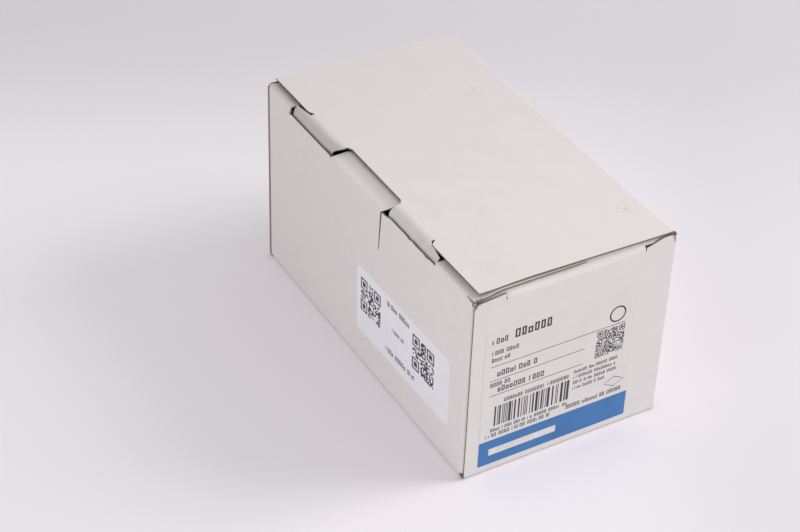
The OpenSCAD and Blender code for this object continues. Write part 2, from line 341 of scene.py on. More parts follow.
class BoardFace:
    """Outer face of a folded sheet, gathered from grids that meet at shared points."""

    def __init__(self):
        self.bm = bmesh.new()
        self.rub = self.bm.verts.layers.float.new("rub")
        self.soil = self.bm.verts.layers.float.new("soil")
        self.shade = self.bm.verts.layers.float.new("shade")
        self.points = {}

    def point(self, place):
        key = tuple(round(c / WELD) for c in place)
        if key not in self.points:
            self.points[key] = self.bm.verts.new(place)
        return self.points[key]

    def grid(self, rows, outward):
        """Faces between rows of places, turned to the outward side."""
        rows = [[self.point(place) for place in row] for row in rows]
        made = []
        for low, high in zip(rows, rows[1:]):
            for a, b, c, d in zip(low, low[1:], high[1:], high):
                corners = list(dict.fromkeys((a, b, c, d)))
                if len(corners) > 2 and not self.bm.faces.get(corners):
                    made.append(self.bm.faces.new(corners))
        outward = Vector(outward)
        for face in made:
            face.normal_update()
        if sum(face.normal.dot(outward) * face.calc_area() for face in made) < 0:
            for face in made:
                face.normal_flip()

    def block(self, rows, outward):
        """A grid that shares no point with the ones before it."""
        self.points = {}
        self.grid(rows, outward)
        self.points = {}

    def settle(self):
        """Lets the panels sag a little behind their planes."""
        self.bm.normal_update()
        moved = [v.co - v.normal * sag_depth(v.co) for v in self.bm.verts]
        for v, place in zip(self.bm.verts, moved):
            v.co = place

    def wear(self):
        """Marks rubbed folds, cut edges and corners, and the handled places."""
        self.bm.normal_update()
        for v in self.bm.verts:
            fold = min(1.0, (1 - max(abs(n) for n in v.normal)) / FOLD_SLOPE)
            rub = FOLD_RUB * fold + (CUT_RUB if v.is_boundary else 0.0)
            for place, reach, amount in WORN_PLACES:
                near = 1 - (v.co - Vector(place) * MM).length / (reach * MM)
                if near > 0:
                    rub += amount * near * (0.45 + 0.55 * max(fold, v.is_boundary))
            v[self.rub] = min(1.0, rub)
            v[self.soil] = min(1.0, sum(
                amount * smooth(1 - (v.co - Vector(place) * MM).length / (reach * MM))
                for place, reach, amount in SOILED_PLACES))

    def thicken(self, depth):
        """Gives the face its thickness: back face behind, cut edge all round."""
        self.bm.normal_update()
        outer, faces = list(self.bm.verts), list(self.bm.faces)
        rim = [loop for e in self.bm.edges if e.is_boundary for loop in e.link_loops]
        rim = [(loop.vert, loop.link_loop_next.vert) for loop in rim]
        inner = {}
        for v in outer:
            stretch = min(FOLD_STRETCH, v.calc_shell_factor())
            inner[v] = self.bm.verts.new(v.co - v.normal * depth * stretch)
            for layer in (self.rub, self.soil, self.shade):
                inner[v][layer] = v[layer]
        for face in faces:
            face.smooth = True
            back = self.bm.faces.new([inner[v] for v in reversed(face.verts)])
            back.material_index, back.smooth = 1, True
        for a, b in rim:
            edge = self.bm.faces.new((b, a, inner[a], inner[b]))
            edge.material_index, edge.smooth = 2, True
        self.bm.normal_update()
        for e in self.bm.edges:
            e.smooth = len(e.link_faces) == 2 and e.calc_face_angle(0) < SHARP_EDGE


def add_piece(context, name, face, materials, body=None, nodes=()):
    """Makes a piece from a finished board face, riding on its body."""
    if not face.bm.faces:
        raise RuntimeError(f"{name} has no faces")
    mesh = bpy.data.meshes.new(name)
    face.bm.to_mesh(mesh)
    face.bm.free()
    for material in materials:
        mesh.materials.append(material)
    piece = bpy.data.objects.new(name, mesh)
    context.scene.collection.objects.link(piece)
    if body:
        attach(piece, body)
    if nodes:
        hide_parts(*nodes)
    return piece


# Materials


class Wiring:
    """Adds and joins the nodes of one material or group."""

    def __init__(self, tree):
        self.tree = tree

    def add(self, kind, **values):
        node = self.tree.nodes.new(kind)
        for name, value in values.items():
            setattr(node, name, value)
        return node

    def feed(self, socket, source):
        """Links a socket from a node's output, or sets its own value."""
        if isinstance(source, bpy.types.NodeSocket):
            self.tree.links.new(source, socket)
        else:
            socket.default_value = source

    def maths(self, operation, *values, clamp=False):
        node = self.add("ShaderNodeMath", operation=operation, use_clamp=clamp)
        for socket, value in zip(node.inputs, values):
            self.feed(socket, value)
        return node.outputs[0]

    def times(self, first, second, clamp=False):
        return self.maths("MULTIPLY", first, second, clamp=clamp)

    def mix(self, factor, first, second):
        node = self.add("ShaderNodeMix", data_type="RGBA")
        for index, value in ((0, factor), (6, first), (7, second)):
            value = (*value, 1) if isinstance(value, (tuple, list)) else value
            self.feed(node.inputs[index], value)
        return node.outputs[2]

    def ramp(self, value, low, high, start=0.0, end=1.0):
        node = self.add("ShaderNodeMapRange", interpolation_type="SMOOTHSTEP")
        for socket, source in zip(node.inputs, (value, low, high, start, end)):
            self.feed(socket, source)
        return node.outputs[0]

    def speckle(self, place, scale, detail=3.0, rough=0.55):
        node = self.add("ShaderNodeTexNoise")
        self.feed(node.inputs["Vector"], place)
        for name, value in (("Scale", scale), ("Detail", detail), ("Roughness", rough)):
            self.feed(node.inputs[name], value)
        return node.outputs[0]

    def stretched(self, place, scale):
        node = self.add("ShaderNodeMapping")
        self.feed(node.inputs["Vector"], place)
        node.inputs["Scale"].default_value = scale
        return node.outputs[0]


def start_group(name, inputs, outputs):
    """An empty shader group with named value sockets; a default of None makes a vector input."""
    tree = bpy.data.node_groups.new(name, "ShaderNodeTree")
    for label, default in inputs:
        kind = "NodeSocketVector" if default is None else "NodeSocketFloat"
        socket = tree.interface.new_socket(label, in_out="INPUT", socket_type=kind)
        if default is not None:
            socket.default_value = default
    for label in outputs:
        tree.interface.new_socket(label, in_out="OUTPUT", socket_type="NodeSocketFloat")
    w = Wiring(tree)
    given, result = w.add("NodeGroupInput").outputs, w.add("NodeGroupOutput").inputs
    return w, given, result


def fibre_group():
    """Fibres and mottle of coated board or paper."""
    w, given, result = start_group(
        "Paper fibre", (("Place", None), ("Fineness", 1.0)), ("Height", "Mottle"))
    coarse = w.speckle(given["Place"], w.times(given["Fineness"], 900.0), 4.0)
    laid = w.stretched(given["Place"], (0.35, 1.0, 1.0))
    fine = w.speckle(laid, w.times(given["Fineness"], 3200.0), 2.0)
    w.feed(result["Height"], w.maths("ADD", w.times(coarse, 0.6), w.times(fine, 0.4)))
    w.feed(result["Mottle"], w.speckle(given["Place"], 120.0, 5.0, 0.62))


def rubbed_group():
    """Where the coat is rubbed through: the worn amount broken up by fibres."""
    w, given, result = start_group(
        "Rubbed coat", (("Place", None), ("Rub", 0.0)), ("Bare", "Dulled"))
    broken = w.speckle(given["Place"], 1100.0, 6.0, 0.7)
    level = w.maths("ADD", given["Rub"], w.times(w.maths("SUBTRACT", broken, 0.5), 1.3))
    w.feed(result["Bare"], w.ramp(level, 0.56, 0.74))
    w.feed(result["Dulled"], w.ramp(level, 0.22, 0.62))


def handling_group():
    """Grey marks: painted places and thin stray scuffs."""
    w, given, result = start_group(
        "Handling marks", (("Place", None), ("Soil", 0.0), ("Scuffs", 0.3)), ("Soiled",))
    turned = w.add("ShaderNodeVectorRotate", rotation_type="EULER_XYZ")
    w.feed(turned.inputs["Vector"], given["Place"])
    turned.inputs["Rotation"].default_value = (0.5, 0.3, 0.65)
    stroke = w.speckle(w.stretched(turned.outputs[0], (0.22, 1.0, 1.0)), 1500.0, 3.0)
    marked = w.times(given["Soil"], w.ramp(stroke, 0.54, 0.66))
    streak = w.speckle(w.stretched(turned.outputs[0], (0.06, 1.0, 1.0)), 900.0, 2.0)
    patch = w.speckle(given["Place"], 60.0, 2.0)
    scuff = w.times(w.ramp(streak, 0.66, 0.76), w.ramp(patch, 0.56, 0.70))
    w.feed(result["Soiled"], w.maths(
        "ADD", marked, w.times(scuff, given["Scuffs"]), clamp=True))


def ink_group():
    """Small flecks where print hasn't taken."""
    w, given, result = start_group("Print flecks", (("Place", None), ("Amount", 0.3)), ("Fleck",))
    grain = w.speckle(given["Place"], 2600.0, 3.0, 0.7)
    edge = w.maths("SUBTRACT", 0.78, w.times(given["Amount"], 0.2))
    w.feed(result["Fleck"], w.ramp(grain, edge, w.maths("ADD", edge, 0.06)))


def start_material(name, roughness):
    """An empty principled material, its wiring and the piece's own coordinates."""
    material = bpy.data.materials.new(name)
    material.use_nodes = True
    material.node_tree.nodes.clear()
    w = Wiring(material.node_tree)
    shader, out = w.add("ShaderNodeBsdfPrincipled"), w.add("ShaderNodeOutputMaterial")
    w.tree.links.new(shader.outputs[0], out.inputs[0])
    shader.inputs["Roughness"].default_value = roughness
    place = w.add("ShaderNodeTexCoord").outputs["Object"]
    return material, w, shader.inputs, place


def use_group(w, name, **values):
    """Places a shared group and feeds its inputs."""
    node = w.add("ShaderNodeGroup", node_tree=bpy.data.node_groups[name])
    for label, value in values.items():
        w.feed(node.inputs[label], value)
    return node.outputs


def bump(w, shader, height, strength, distance):
    """Raises the surface by a height from the nodes."""
    node = w.add("ShaderNodeBump")
    node.inputs["Strength"].default_value = strength
    node.inputs["Distance"].default_value = distance
    w.feed(node.inputs["Height"], height)
    w.feed(shader["Normal"], node.outputs[0])


def painted(w, name):
    """An amount that is painted on the points of a piece."""
    return w.add("ShaderNodeAttribute", attribute_name=name).outputs["Fac"]


def tint(colour, factor):
    """A paler or darker colour."""
    return tuple(min(1.0, c * factor) for c in colour)


def coat_material(colours):
    """White coated board: mottle, marks, folds rubbed grey and corners worn to the core."""
    material, w, shader, place = start_material("board_coat", 0.55)
    fibre = use_group(w, "Paper fibre", Place=place, Fineness=1.0)
    rubbed = use_group(w, "Rubbed coat", Place=place, Rub=painted(w, "rub"))
    handled = use_group(w, "Handling marks", Place=place, Soil=painted(w, "soil"), Scuffs=0.35)
    along = w.add("ShaderNodeSeparateXYZ")
    w.feed(along.inputs[0], place)
    # Painted light: the coat is a little lighter towards the labelled end, where more light falls
    colour = w.mix(w.ramp(along.outputs[0], -0.07, 0.06),
                   tint(colours.coat, 0.95), tint(colours.coat, 1.03))
    mottle = w.ramp(fibre["Mottle"], 0.3, 0.7)
    colour = w.mix(w.times(mottle, 0.10), colour, tint(colours.coat, 0.75))
    # Painted shade darkens the coat above zero, and below zero a painted highlight makes it lighter
    shade = painted(w, "shade")
    colour = w.mix(w.times(shade, 0.5, clamp=True), colour, tint(colours.coat, 0.35))
    colour = w.mix(w.times(shade, -1.0, clamp=True), colour, tint(colours.coat, 1.29))
    colour = w.mix(w.times(handled["Soiled"], 0.75), colour, tuple(colours.soil))
    colour = w.mix(w.times(rubbed["Dulled"], 0.22), colour, tuple(colours.soil))
    bare = w.mix(w.ramp(fibre["Height"], 0.4, 0.6),
                 tint(colours.core, 0.7), tint(colours.core, 1.5))
    colour = w.mix(w.times(rubbed["Bare"], 0.9), colour, bare)
    w.feed(shader["Base Color"], colour)
    rough = w.maths("ADD", w.times(fibre["Mottle"], 0.16), w.ramp(rubbed["Bare"], 0, 1, 0.46, 0.66))
    w.feed(shader["Roughness"], rough)
    height = w.maths("SUBTRACT", fibre["Height"], w.times(rubbed["Bare"], 1.2))
    bump(w, shader, height, 0.25, 0.00006)
    return material


def back_material(colours):
    """Uncoated grey-brown inside of the board, with darker and lighter flecks."""
    material, w, shader, place = start_material("board_back", 0.85)
    fibre = use_group(w, "Paper fibre", Place=place, Fineness=0.8)
    colour = w.mix(w.ramp(fibre["Mottle"], 0.3, 0.7),
                   tint(colours.back, 0.9), tint(colours.back, 1.08))
    fleck = w.ramp(w.speckle(place, 1500.0, 2.0), 0.64, 0.72)
    colour = w.mix(w.times(fleck, 0.45), colour, tint(colours.core, 0.9))
    w.feed(shader["Base Color"], colour)
    w.feed(shader["Roughness"], w.maths("ADD", w.times(fibre["Mottle"], 0.1), 0.8))
    bump(w, shader, fibre["Height"], 0.4, 0.00008)
    return material


def core_material(colours):
    """Cut edge of the board: grey plies, brown where it is worn."""
    material, w, shader, place = start_material("board_core", 0.9)
    rub = w.times(painted(w, "rub"), 0.6)
    rubbed = use_group(w, "Rubbed coat", Place=place, Rub=rub)
    plies = w.speckle(w.stretched(place, (0.2, 0.2, 1.0)), 2600.0, 3.0, 0.6)
    colour = w.mix(w.ramp(plies, 0.36, 0.66), tint(colours.cut, 0.85), tint(colours.cut, 1.12))
    colour = w.mix(w.times(rubbed["Bare"], 0.85), colour, tint(colours.core, 0.85))
    w.feed(shader["Base Color"], colour)
    bump(w, shader, plies, 0.6, 0.0001)
    return material


def paper_material(name, paper, colours, gloss):
    """Smooth label paper with fine fibre and a little soiling."""
    material, w, shader, place = start_material(name, gloss)
    fibre = use_group(w, "Paper fibre", Place=place, Fineness=1.6)
    handled = use_group(w, "Handling marks", Place=place, Soil=0.0, Scuffs=0.3)
    colour = w.mix(w.ramp(fibre["Mottle"], 0.3, 0.7), tint(paper, 0.985), tint(paper, 1.012))
    colour = w.mix(w.times(handled["Soiled"], 0.35), colour, tuple(colours.soil))
    w.feed(shader["Base Color"], colour)
    w.feed(shader["Roughness"], w.maths("ADD", w.times(fibre["Mottle"], 0.1), gloss - 0.05))
    bump(w, shader, fibre["Height"], 0.12, 0.00004)
    return material


def ink_material(name, ink, paper, amount, gloss):
    """Print with flecks of bare paper in it."""
    material, w, shader, place = start_material(name, gloss)
    flecks = use_group(w, "Print flecks", Place=place, Amount=amount)
    fibre = use_group(w, "Paper fibre", Place=place, Fineness=1.6)
    colour = w.mix(w.ramp(fibre["Mottle"], 0.3, 0.7), tint(ink, 0.92), tint(ink, 1.10))
    colour = w.mix(w.times(flecks["Fleck"], 0.7), colour, tuple(paper))
    w.feed(shader["Base Color"], colour)
    w.feed(shader["Roughness"], w.maths("ADD", w.times(flecks["Fleck"], 0.2), gloss))
    bump(w, shader, fibre["Height"], 0.12, 0.00004)
    return material


def board_materials(context):
    """Coat, back and cut edge, in the order that a thickened face uses."""
    if "board_coat" not in bpy.data.materials:
        for make in (fibre_group, rubbed_group, handling_group, ink_group):
            make()
        for make in (coat_material, back_material, core_material):
            make(context.scene.carton_colours)
    return [bpy.data.materials[name] for name in ("board_coat", "board_back", "board_core")]


# Board

# Slack and damage of this one carton, beyond the solid model's shapes.
# The tear: how far it leans and gapes, its ragged edge, and how far round it the wall gives
TEAR_LEAN, TEAR_GAPE, TEAR_RAG, TEAR_ROUND = 0.8 * MM, 0.75 * MM, 0.2 * MM, 12 * MM
# The slits: where one is frayed most, the curl beside the tear, and the wall's height that gives
FRAYED = (25 * MM, 37 * MM)
SLIT_CURL, SLIT_FADE = 0.9 * MM, 5 * MM
# The bridge: its sideways lean, the depth at which that is greatest, its slump at the tear, and how
# far down the slump reaches
BRIDGE_LEAN, BRIDGE_BROW = 3.3 * MM, 5 * MM
BRIDGE_SLUMP, SLUMP_FADE = 0.7 * MM, 6 * MM
# The top flap: rise at the labelled end, length of its bends, and depth of the bend at each end
FLAP_RISE, FLAP_BEND = 0.9 * MM, 10 * MM
FLAP_FRONT = {-1: 16 * MM, 1: 9 * MM}
# The flap's cut edge beside the bridge: share of the way that it runs back, and over what length
NOTCH_SHARE, NOTCH_RUN = 0.97, 6 * MM
# Taper of a dust flap from its fold to its free edge
DUST_TAPER = 2 * MM
# The lid: its free edge back over the bridge and forward beyond each tab, and its bow at the label
EDGE_BACK, EDGE_NEAR, EDGE_FAR = 0.9 * MM, 2.0 * MM, 1.2 * MM
LID_BOW = 0.55 * MM
# The lock tabs: corner cut, rows at the bend that have no ear, and how far the ears hang
TAB_HEEL = 2.4 * MM
TAB_BEND_ROWS = 2
EAR_HANG = (0.9 * MM, 1.6 * MM)
# The end panels: lean of the crown from one side to the other, its stretch and sag at the label
CROWN_UP, CROWN_DOWN = 0.55 * MM, 0.6 * MM
CROWN_STRETCH, CROWN_SAG = 1.1 * MM, 0.55 * MM
# Rise of the label end's front shoulder, and of the far end's front shoulder and crown
NEAR_SHOULDER, FAR_SHOULDER, FAR_CROWN = 0.45 * MM, 1.8 * MM, -0.5 * MM


def tear_shift(k, x, z, near):
    """Sideways place of the front wall beside the tear, which gapes towards the slit."""
    foot = k.crease
    fade = max(0.0, 1 - abs(x - k.tear_x) / TEAR_ROUND)
    if z <= k.tear_z:
        return -TEAR_LEAN * smooth((z - foot) / (k.tear_z - foot)) * fade
    rise = min(1.0, (z - k.tear_z) / (k.slit_z - k.tear_z))
    # Each side of the tear follows its own row of the noise
    rag = TEAR_RAG * noise.noise(Vector((3.1 if near else 3.25, 0.0, z * 420)))
    rag *= rise * max(0.0, min(1.0, (k.slit_z - z) / (1.2 * MM)))
    gape = TEAR_GAPE * rise ** 0.3 if near else 0.0
    return (-TEAR_LEAN * (1 - rise) + gape + rag) * fade


def fray(k, x, z):
    """Drop of a slit's lower edge where it is frayed, and where it curls beside the tear."""
    rough = 0.6 if FRAYED[0] < x < FRAYED[1] else 0.2
    for end in (*k.far_slit, k.near_slit[1]):
        rough *= smooth(abs(x - end) / (2 * MM))
    beside = x > k.tear_x - WELD
    curl = SLIT_CURL * (1 - smooth((x - k.near_slit[0]) / (4 * MM))) if beside else 0.0
    drop = curl + rough * MM * max(0.0, noise.noise(Vector((x * 330, 7.0, 0.0))))
    return drop * smooth((z - k.slit_z) / SLIT_FADE + 1)


def bridge_lean(k, y):
    """Sideways shift of the bridge, whose ends lean towards the label as it rises to the lid."""
    rise = (y + k.half_y) / BRIDGE_BROW
    fall = (k.bridge_y - y) / (k.bridge_y + k.half_y - BRIDGE_BROW)
    return BRIDGE_LEAN * max(0.0, min(rise, fall))


def flap_level(k, x, y):
    """Height of the front wall's top flap: bent over the end strips, raised at the labelled end."""
    end = 1 if x > 0 else -1
    away = (x - k.near_slit[1] if x > 0 else k.far_slit[0] - x) + FLAP_BEND
    depth = y + k.half_y - k.lip_r
    front, brink = 1 - smooth(depth / FLAP_FRONT[end]), 1 - smooth(depth / (4.5 * MM))
    raised = FLAP_RISE * smooth((x - 42 * MM) / (16 * MM)) * (1 - front)
    bend = (k.bent[end] - k.hollow[end]) * front + k.hollow[end] * brink
    return k.flap_top + bend * smooth(away / FLAP_BEND) + raised


def shade_front(k, face):
    """Painted shadow of the lid's edge on the strips and the bridge, and a painted highlight along
    the bridge's fold.
    """
    for v in face.bm.verts:
        x, y, z = v.co
        depth = y + k.half_y
        outside = x < k.far_slit[1] or x > k.near_slit[0]
        if z <= (k.slit_z if outside else k.bridge_z - MM) or y >= k.lid_y + 4 * MM:
            continue
        # Painted shadow of the lid's edge on the bridge's upper part, and a painted highlight along
        # its fold
        if k.far_slit[1] <= x <= k.near_slit[0] + 4 * MM:
            lid_shadow = 0.28 * smooth((y - k.lid_y + 1.8 * MM) / (2 * MM))
            fold_highlight = 0.4 * smooth(depth / (0.4 * MM)) * (1 - smooth((depth - 1.2 * MM) / (2 * MM)))
            v[face.shade] = lid_shadow - fold_highlight
        # Painted shadow under the lid's edge on the end strips, light at the labelled end and deep
        # at the far end
        elif x > 0:
            v[face.shade] = 0.16 * smooth((depth - 0.7 * MM) / (0.6 * MM))
        else:
            v[face.shade] = 0.8 * smooth(depth / (0.8 * MM))


def body_face(k):
    """Bottom, walls, dust flaps and the front wall's top flap, as one folded face."""
    face = BoardFace()
    cuts = (-k.wall_x, *k.far_slit, k.tear_x, k.near_slit[1], k.wall_x)
    kinds = ("fold", "slit", "bridge", "slit", "fold")
    columns = [spread(a, b) for a, b in zip(cuts, cuts[1:])]
    whole = chain(*cuts)
    base = [k.crease] + spread(k.dust_foot, k.dust_top)
    levels = sorted(base + [k.bridge_z, k.slit_z, *k.lip_z.values()])
    flap_rows = spread(k.notch_y, k.bridge_y) + spread(k.bridge_y, k.flap_end_y)[1:]
    lip_rows = spread(-k.half_y + k.lip_r, k.notch_y, k.gap * 4)
    quarter, bridge_length = math.pi / 2, k.tear_x - k.far_slit[1]

    # Bottom, and the folds up to both walls
    across = spread(-k.fold_y, k.fold_y)
    tongue = spread(k.wall_x, k.foot_x)
    face.grid([[(x, y, 0) for x in whole] for y in across], (0, 0, -1))
    for end in (1, -1):
        rows = [-k.flap_y] + across + [k.flap_y]
        face.grid([[(end * x, y, 0) for x in tongue] for y in rows], (0, 0, -1))
    fold = fold_line((-k.fold_y, 0), math.pi, ((0, k.crease, -quarter),))
    for side in (1, -1):
        face.grid([[(x, side * y, z) for x in whole] for y, z in fold], (0, -side, -1))

    # Front wall with its slits and tear, and the top flap behind it
    for part, (kind, line) in enumerate(zip(kinds, columns)):
        near, slit, bridge = part > 2, kind == "slit", kind == "bridge"
        last = {"fold": k.lip_z[1 if near else -1], "slit": k.slit_z, "bridge": k.bridge_z}[kind]
        slump = [BRIDGE_SLUMP * smooth((x - k.far_slit[1]) / bridge_length) * bridge for x in line]
        rows = []
        for z in (level for level in levels if level <= last + WELD):
            sunk = smooth((z - last) / SLUMP_FADE + 1)
            rows.append([(x + tear_shift(k, x, z, near), -k.half_y,
                          z - fray(k, x, z) * slit - low * sunk) for x, low in zip(line, slump)])
        face.grid(rows, (0, -1, 0))
        if not slit:
            rise = fold_line((-k.half_y, last), quarter, k.bridge_fold if bridge else k.lip_fold)
            rows = []
            for i, (y, z) in enumerate(rise):
                lean, sunk = bridge_lean(k, y) * bridge, 1 - i / (len(rise) - 1)
                rows.append([(x + tear_shift(k, x, z, near) + lean, y, z - low * sunk)
                             for x, low in zip(line, slump)])
            face.grid(rows, (0, -1, 1))
        rows = [y for y in flap_rows if y >= k.bridge_y - WELD] if bridge else flap_rows
        rows = lip_rows[:-1] + rows if kind == "fold" else rows
        # Beside the leaning bridge the flap's cut edge runs back under the lid
        back = [NOTCH_SHARE * (1 - smooth((x - k.tear_x) / NOTCH_RUN)) * (slit and near)
                for x in line]
        face.grid([[(x, y + share * max(0.0, k.bridge_y - y), flap_level(k, x, y))
                    for x, share in zip(line, back)] for y in rows], (0, 0, 1))
    lips = {end: fold_line((-k.half_y, k.lip_z[end]), quarter, k.lip_fold) for end in k.lip_z}
    for end, last in ((1, k.end_x - 0.4 * MM), (-1, k.back_x)):
        plate = [end * x for x in spread(k.wall_x, last)]
        face.grid([[(x, y, z) for x in plate] for y, z in lips[end][4:]], (0, -1, 1))
        face.grid([[(x, y, flap_level(k, x, y)) for x in plate]
                   for y in lip_rows[:-1] + flap_rows], (0, 0, 1))

    # Rear wall, up to the lid's crease strip
    rear_levels = base + [k.slit_z, k.hinge_z - k.strip]
    face.grid([[(x, k.half_y, z) for x in whole] for z in rear_levels], (0, 1, 0))

    # Dust flaps, folded in from the ends of both walls
    turn = fold_line((k.wall_x, -k.half_y), 0, ((0, k.crease, quarter),))
    tall = k.dust_top - k.dust_foot
    for end in (1, -1):
        tops = [(z, y + k.half_y) for y, z in lips[end][1:3]]
        front_levels = [z for z in levels[1:] if z <= k.lip_z[end] + WELD]
        for side, heights in ((1, front_levels), (-1, rear_levels[1:])):
            rows = [(z, 0.0) for z in heights] + (tops if side > 0 else [])
            face.grid([[(end * x, side * (y + back * (k.dust_x - x) / k.crease), z)
                        for x, y in turn] for z, back in rows], (end, -side, 0))
            flap = []
            for y in spread(-k.fold_y, k.dust_y):
                taper = DUST_TAPER * (y + k.fold_y) / (k.dust_y + k.fold_y)
                share = (tall - 2 * taper) / tall
                flap.append([(end * k.dust_x, side * y,
                              k.dust_foot + taper + (z - k.dust_foot) * share)
                             for z in heights if z <= k.dust_top + WELD])
            face.grid(flap, (end, 0, 0))
    shade_front(k, face)
    return face


def free_edge(k, x):
    """How far the lid's free edge wanders: back over the bridge, forward beyond the tabs."""
    (far, _, _, far_root), (near, _, _, near_root) = k.tabs
    over = smooth((x - far) / (1.6 * MM)) * smooth((near - x) / (1.6 * MM))
    near_stop, far_stop = near + near_root, far - far_root
    beyond = EDGE_NEAR * smooth((x - near_stop) / (2 * MM))
    beyond += EDGE_FAR * smooth((far_stop - x) / (2 * MM))
    return EDGE_BACK * over - beyond


def along_section(section, runs, run):
    """Place on a folded section at a length along it."""
    for i in range(1, len(runs)):
        if run <= runs[i] or i == len(runs) - 1:
            share = min(1.0, (run - runs[i - 1]) / (runs[i] - runs[i - 1]))
            return section[i - 1].lerp(section[i], share)


def sprung(k, place, share):
    """A place on the lid after it springs up at the far end and bows at the labelled end."""
    x, y, z = place
    angle = -share * k.lid_tilt * (1 - 0.6 * smooth((x + k.half_x) / (2 * k.half_x)))
    bow = LID_BOW * share * smooth((x - 5 * MM) / (50 * MM)) * smooth((y + 29 * MM) / (16 * MM))
    y, z = y - k.half_y, z - k.hinge_z
    return Vector((x, k.half_y + y * math.cos(angle) - z * math.sin(angle),
                   k.hinge_z + y * math.sin(angle) + z * math.cos(angle) + bow))


def lid_face(k):
    """Lid panel and its two barbed lock tabs."""
    face = BoardFace()
    (far, _, _, far_root), (near, _, _, near_root) = k.tabs
    stop = near + near_root
    line = chain(-k.end_x, far - far_root, far, near, stop)
    rows = []
    for y in spread(k.lid_y, k.lid_rear_y):
        # The lid's labelled end runs askew, from its set-back to the crease's full length
        share = (y - k.lid_y) / (k.lid_rear_y - k.lid_y)
        last = k.back_x + (k.end_x - k.back_x) * share
        fade = 1 - smooth((y - k.lid_y) / (8 * MM))
        places = line + spread(stop, last, (last - stop) / 16)[1:]
        rows.append([(x, y + free_edge(k, x) * fade, k.top) for x in places])
    face.grid(rows, (0, 0, 1))

    # Lock tabs, each with an ear at its outer end that is cut from the lid's edge
    section = fold_line((k.lid_y, k.top), math.pi, k.tab_fold)
    runs = [0.0]
    for a, b in zip(section, section[1:]):
        runs.append(runs[-1] + (b - a).length)
    ear_drop = runs[-1] - runs[TAB_BEND_ROWS]
    for (start, way, reach, root), over, hang in zip(k.tabs, k.slants, EAR_HANG):
        barb = reach - root
        stations = sorted(abs(x - start) for x in line if -WELD <= way * (x - start) <= root + WELD)
        ear = [root + barb * i / 6 for i in range(7)]
        main, lobe = [], []
        for i, (run, (y, z)) in enumerate(zip(runs, section)):
            foot = runs[-1] - run
            low = max(over, 0.25 * over) * smooth((run - 0.6 * MM) / (4.6 * MM))
            low += max(0.0, TAB_HEEL - foot)
            high = reach - max(0.0, 2 * TAB_HEEL - foot)
            # The far tab is drawn in and down at its inner end
            drawn = 0.5 * MM * smooth(run / (3 * MM)) if way < 0 else 0.0
            row = []
            for s in stations:
                pull = 1 - smooth(s / (7 * MM))
                row.append((start + way * (low + (root - low) * s / root),
                            y + 0.6 * drawn * pull, z - 0.5 * drawn * pull))
            main.append(row)
            if i >= TAB_BEND_ROWS:
                row = []
                for s in ear:
                    late = hang * ((s - root) / barb) ** 0.8 * foot / ear_drop
                    place = along_section(section, runs, run + late)
                    row.append((start + way * (root + (high - root) * (s - root) / barb), *place))
                lobe.append(row)
        face.grid(main, (0, -1, 1))
        face.grid(lobe, (0, -1, 1))
    # Painted shade on the tabs where they turn down into the slits, away from the light, the far
    # one more than the near one
    face.bm.normal_update()
    for v in face.bm.verts:
        v[face.shade] = (0.4 if v.co.x > 0 else 0.8) * smooth((-v.normal.y - 0.25) / 0.6)
        v.co = sprung(k, v.co, 1.0)
    return face


def loosen_end(k, end, face):
    """Slack of an end panel: the crown leans, stretches and sags, the shoulders rise or drop."""
    tall = k.tuck_top - k.panel_z
    for v in face.bm.verts:
        height = v.co.z
        share = smooth((height - k.panel_z + 3 * MM) / (3 * MM))
        v.co.z += share * (CROWN_UP * smooth((v.co.y - 3 * MM) / (24 * MM))
                           - CROWN_DOWN * (1 - smooth((v.co.y + k.half_y) / (16 * MM))))
        shoulder = abs(v.co.x) > k.half_x - WELD and abs(v.co.y) > k.crown_y + k.tick / 2
        if end > 0:
            inward = smooth((v.co.y + k.half_y - k.lip_r) / (12 * MM))
            if not shoulder:
                rise = min(1.0, max(0.0, (height - k.panel_z) / tall))
                inner = smooth((k.crown_y - abs(v.co.y)) / (14 * MM))
                v.co.z += CROWN_STRETCH * inward * rise - CROWN_SAG * inner * share * (1 - rise)
            elif v.co.y < 0:
                v.co.z += NEAR_SHOULDER * share * inward
            else:
                # Slack beside the crown's cut, and pushed up at the corner
                slack = 0.9 - 1.6 * smooth((v.co.y - k.crown_y) / (7 * MM))
                v.co.z -= slack * MM * smooth((height - k.tick_z) / (k.tuck_top - k.tick_z))
        elif v.co.y < 0:
            lift = FAR_SHOULDER if shoulder else FAR_CROWN
            v.co.z += lift * share * smooth(-(v.co.y + 18 * MM) / (12 * MM))


